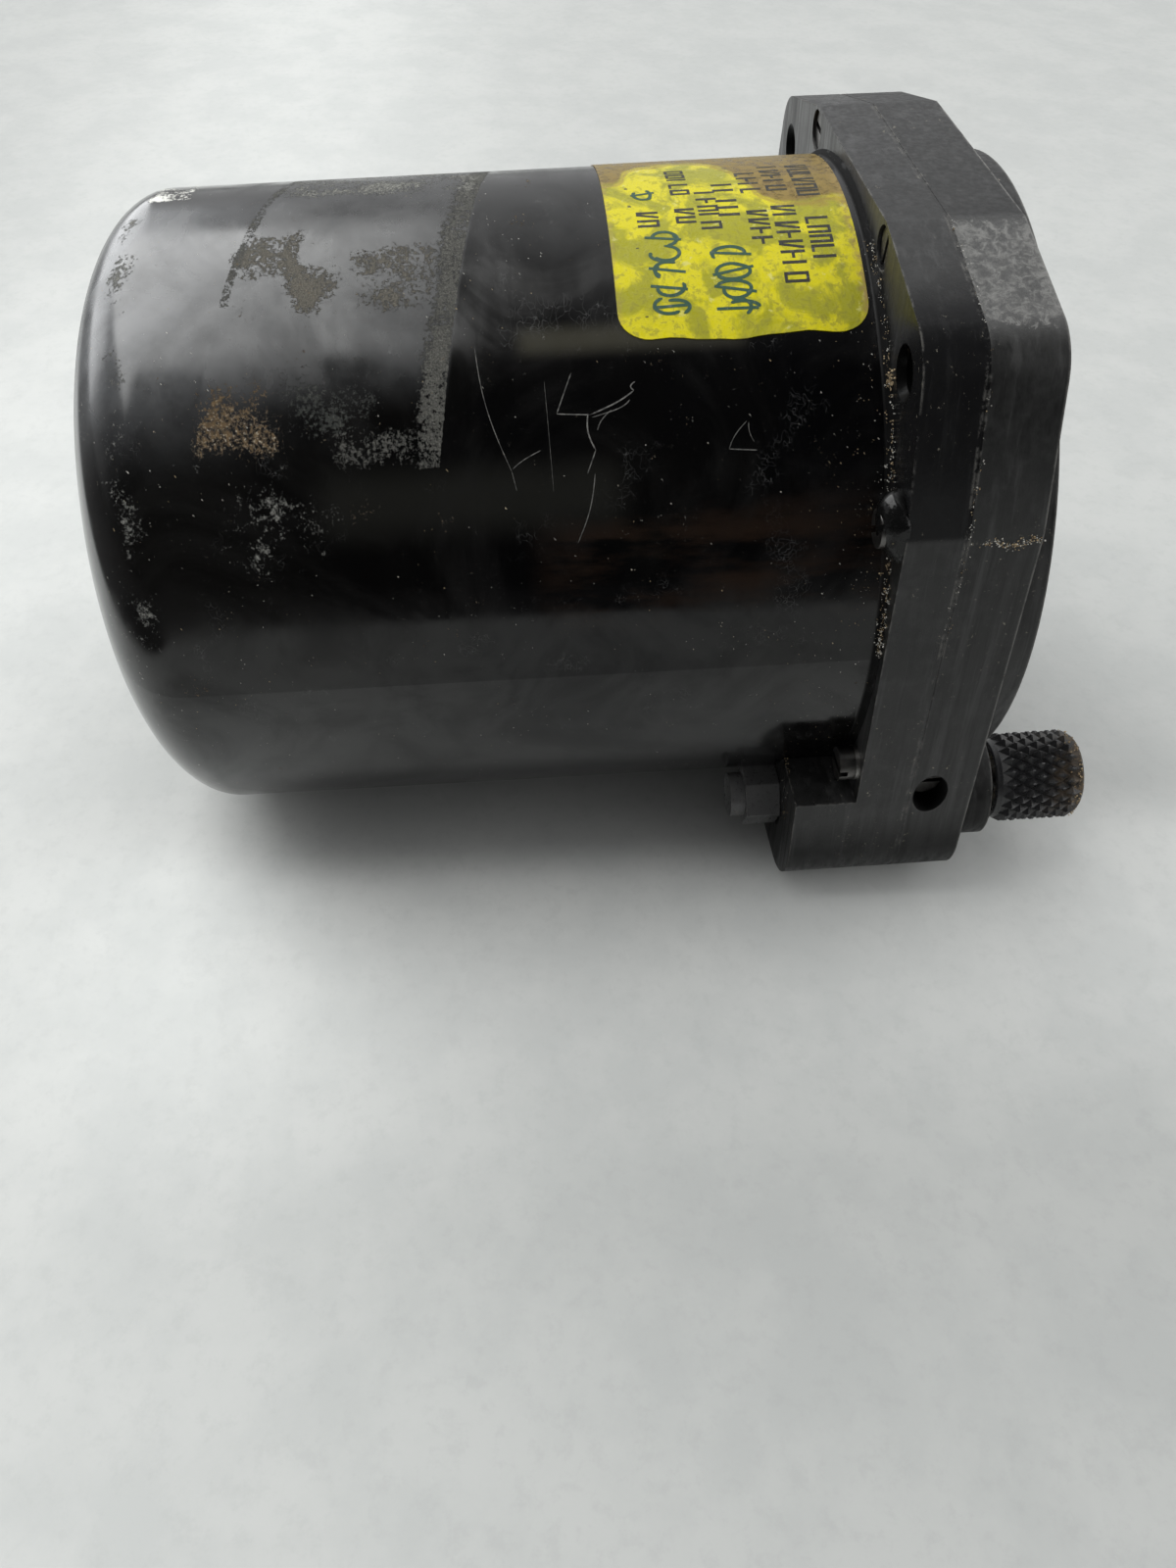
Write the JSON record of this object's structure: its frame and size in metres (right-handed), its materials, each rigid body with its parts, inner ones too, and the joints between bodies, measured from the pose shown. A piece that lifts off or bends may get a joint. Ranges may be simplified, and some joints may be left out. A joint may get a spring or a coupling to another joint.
{
  "type": "altimeter",
  "caption": "Panel altimeter: black moulded barrel, square flange, knurled pressure-setting knob, three pointers, sealed capsule mechanism.",
  "frame": {"origin": "on the instrument's axis, in the plane of the front plate that touches the panel", "axes": "+Y along the axis from the dial to the rear, +Z towards twelve o'clock on the dial, +X to the right as the dial is read"},
  "size_m": [0.0826, 0.1253, 0.0826],
  "materials": {
    "case_black": "moulded, glossy, scuffed",
    "plate_black": "machined satin black with dust",
    "gasket_rubber": "dull",
    "screw_steel": "worn",
    "cover_glass": "clear",
    "ring_black": "satin black",
    "dial_black": "matt black with white figures",
    "bushing_brass": "dull",
    "gear_brass": "clean",
    "plate_aluminium": "turned",
    "shaft_steel": "ground",
    "spring_blue": "blued",
    "capsule_metal": "satin",
    "pointer_white": "matt white",
    "label_yellow": "aged yellow film",
    "knob_black": "knurled, dirt in the grooves"
  },
  "bodies": {
    "case": {"case_shell": "case_black", "front_plate": "plate_black", "flange_gasket": "gasket_rubber", "plate_screws": "screw_steel", "screw_washers": "screw_steel", "cover_glass": "cover_glass", "glass_gasket": "gasket_rubber", "glass_ring": "ring_black", "dial": "dial_black", "dial_spacer": "dial_black", "dial_screws": "screw_steel", "dial_support": "gear_brass", "support_screws": "screw_steel", "gear_studs": "bushing_brass", "scale_keeper": "gear_brass", "knob_bushing": "bushing_brass", "shaft_seal": "gasket_rubber", "gland_nut": "knob_black", "port_insert": "bushing_brass", "bearing_ring": "bushing_brass", "label": "label_yellow", "lock_screw": "screw_steel"},
    "knob": {"setting_knob": "knob_black", "knob_shaft": "screw_steel", "drive_pinion": "gear_brass", "scale_pinion": "gear_brass", "knob_set_screw": "screw_steel", "shaft_clip": "screw_steel"},
    "scale_idler": {"scale_idler": "gear_brass"},
    "pressure_scale": {"pressure_scale": "dial_black"},
    "carrier": {"carrier": "plate_aluminium", "carrier_keeper": "plate_aluminium", "back_plate": "plate_aluminium", "front_pillars": "plate_aluminium", "rear_plate": "plate_aluminium", "rear_pillars": "plate_aluminium", "pillar_screws": "screw_steel", "capsule_bracket": "plate_aluminium", "pressure_capsules": "capsule_metal", "hairspring": "spring_blue"},
    "long_hand": {"long_pointer": "pointer_white", "long_staff": "shaft_steel"},
    "medium_sleeve": {"medium_bush": "shaft_steel"},
    "medium_hand": {"medium_pointer": "pointer_white", "medium_tube": "shaft_steel"},
    "short_sleeve": {"short_bush": "shaft_steel"},
    "short_hand": {"short_pointer": "pointer_white", "short_tube": "shaft_steel"},
    "idler_a_sleeve": {"idler_a_bush": "shaft_steel"},
    "idler_a": {"idler_a": "gear_brass"},
    "idler_b_sleeve": {"idler_b_bush": "shaft_steel"},
    "idler_b": {"idler_b": "gear_brass"},
    "arbor_a": {"train_arbor_a": "gear_brass"},
    "arbor_b": {"train_arbor_b": "gear_brass"},
    "rocker": {"rocking_shaft": "shaft_steel", "sector_gear": "gear_brass", "compensator_arm": "capsule_metal", "balance_weight": "plate_aluminium"},
    "link": {"link_post": "shaft_steel"}
  },
  "joints": [
    {"name": "mechanism_turn", "type": "hinge", "parent": "case", "child": "carrier", "pos_m": [0, 0, 0], "axis": [0, 1, 0], "range_deg": [-655.2, 388.8]},
    {"name": "setting_knob_turn", "type": "hinge", "parent": "case", "child": "knob", "pos_m": [-0.0304, 0, -0.0304], "axis": [0, 1, 0], "range_deg": [-1840.82, 3101.78]},
    {"name": "scale_idler_turn", "type": "hinge", "parent": "case", "child": "scale_idler", "pos_m": [-0.02191, 0, -0.02191], "axis": [0, 1, 0], "range_deg": [-1034.26, 613.94]},
    {"name": "pressure_scale_turn", "type": "hinge", "parent": "case", "child": "pressure_scale", "pos_m": [0, 0, 0], "axis": [0, 1, 0], "range_deg": [-118.47, 199.3]},
    {"name": "medium_sleeve_turn", "type": "hinge", "parent": "case", "child": "medium_sleeve", "pos_m": [0, 0, 0], "axis": [0, 1, 0], "range_deg": [-66.02, 39.38]},
    {"name": "short_sleeve_turn", "type": "hinge", "parent": "case", "child": "short_sleeve", "pos_m": [0, 0, 0], "axis": [0, 1, 0], "range_deg": [-7.05, 4.39]},
    {"name": "idler_a_sleeve_turn", "type": "hinge", "parent": "case", "child": "idler_a_sleeve", "pos_m": [0.0084, 0, 0], "axis": [0, 1, 0], "range_deg": [-130.1, 218.9]},
    {"name": "idler_b_sleeve_turn", "type": "hinge", "parent": "case", "child": "idler_b_sleeve", "pos_m": [-0.0084, 0, 0], "axis": [0, 1, 0], "range_deg": [-13.46, 22.34]},
    {"name": "altitude_turn", "type": "hinge", "parent": "carrier", "child": "long_hand", "pos_m": [0, 0, 0], "axis": [0, 1, 0], "range_deg": [-360, 7200]},
    {"name": "medium_pointer_turn", "type": "hinge", "parent": "medium_sleeve", "child": "medium_hand", "pos_m": [0, 0, 0], "axis": [0, 1, 0], "range_deg": [-36.5, 720.5]},
    {"name": "short_pointer_turn", "type": "hinge", "parent": "short_sleeve", "child": "short_hand", "pos_m": [0, 0, 0], "axis": [0, 1, 0], "range_deg": [-4.1, 72.5]},
    {"name": "idler_a_turn", "type": "hinge", "parent": "idler_a_sleeve", "child": "idler_a", "pos_m": [0.0084, 0, 0], "axis": [0, 1, 0], "range_deg": [-2400.5, 120.5]},
    {"name": "idler_b_turn", "type": "hinge", "parent": "idler_b_sleeve", "child": "idler_b", "pos_m": [-0.0084, 0, 0], "axis": [0, 1, 0], "range_deg": [-240.5, 12.5]},
    {"name": "arbor_b_turn", "type": "hinge", "parent": "carrier", "child": "arbor_b", "pos_m": [0.00609, 0, -0.01566], "axis": [0, 1, 0], "range_deg": [-1200.5, 60.5]},
    {"name": "arbor_a_turn", "type": "hinge", "parent": "carrier", "child": "arbor_a", "pos_m": [0.01602, 0, -0.00211], "axis": [0, 1, 0], "range_deg": [-10.5, 200.5]},
    {"name": "rocking_shaft_turn", "type": "hinge", "parent": "carrier", "child": "rocker", "pos_m": [-0.007, 0, 0.012], "axis": [0, 1, 0], "range_deg": [-25.1, 1.35]},
    {"name": "link_turn", "type": "hinge", "parent": "rocker", "child": "link", "pos_m": [0, 0, 0.01053], "axis": [0, 1, 0], "range_deg": [-1.35, 25.1], "deforming": ["pressure_capsules"]}
  ],
  "couplings": [
    {"joint": "setting_knob_turn", "follows": "mechanism_turn", "ratio": -4.7333},
    {"joint": "scale_idler_turn", "follows": "mechanism_turn", "ratio": 1.5778},
    {"joint": "pressure_scale_turn", "follows": "mechanism_turn", "ratio": -0.30342},
    {"joint": "medium_sleeve_turn", "follows": "mechanism_turn", "ratio": 0.1},
    {"joint": "short_sleeve_turn", "follows": "mechanism_turn", "ratio": 0.01},
    {"joint": "idler_a_sleeve_turn", "follows": "mechanism_turn", "ratio": -0.33333},
    {"joint": "idler_b_sleeve_turn", "follows": "mechanism_turn", "ratio": -0.033333},
    {"joint": "medium_pointer_turn", "follows": "altitude_turn", "ratio": 0.1},
    {"joint": "short_pointer_turn", "follows": "altitude_turn", "ratio": 0.01},
    {"joint": "idler_a_turn", "follows": "altitude_turn", "ratio": -0.33333},
    {"joint": "idler_b_turn", "follows": "altitude_turn", "ratio": -0.033333},
    {"joint": "arbor_b_turn", "follows": "altitude_turn", "ratio": -0.16667},
    {"joint": "arbor_a_turn", "follows": "altitude_turn", "ratio": 0.027778},
    {"joint": "rocking_shaft_turn", "follows": "altitude_turn", "ratio": -0.0034722},
    {"joint": "link_turn", "follows": "altitude_turn", "ratio": 0.0034722}
  ]
}
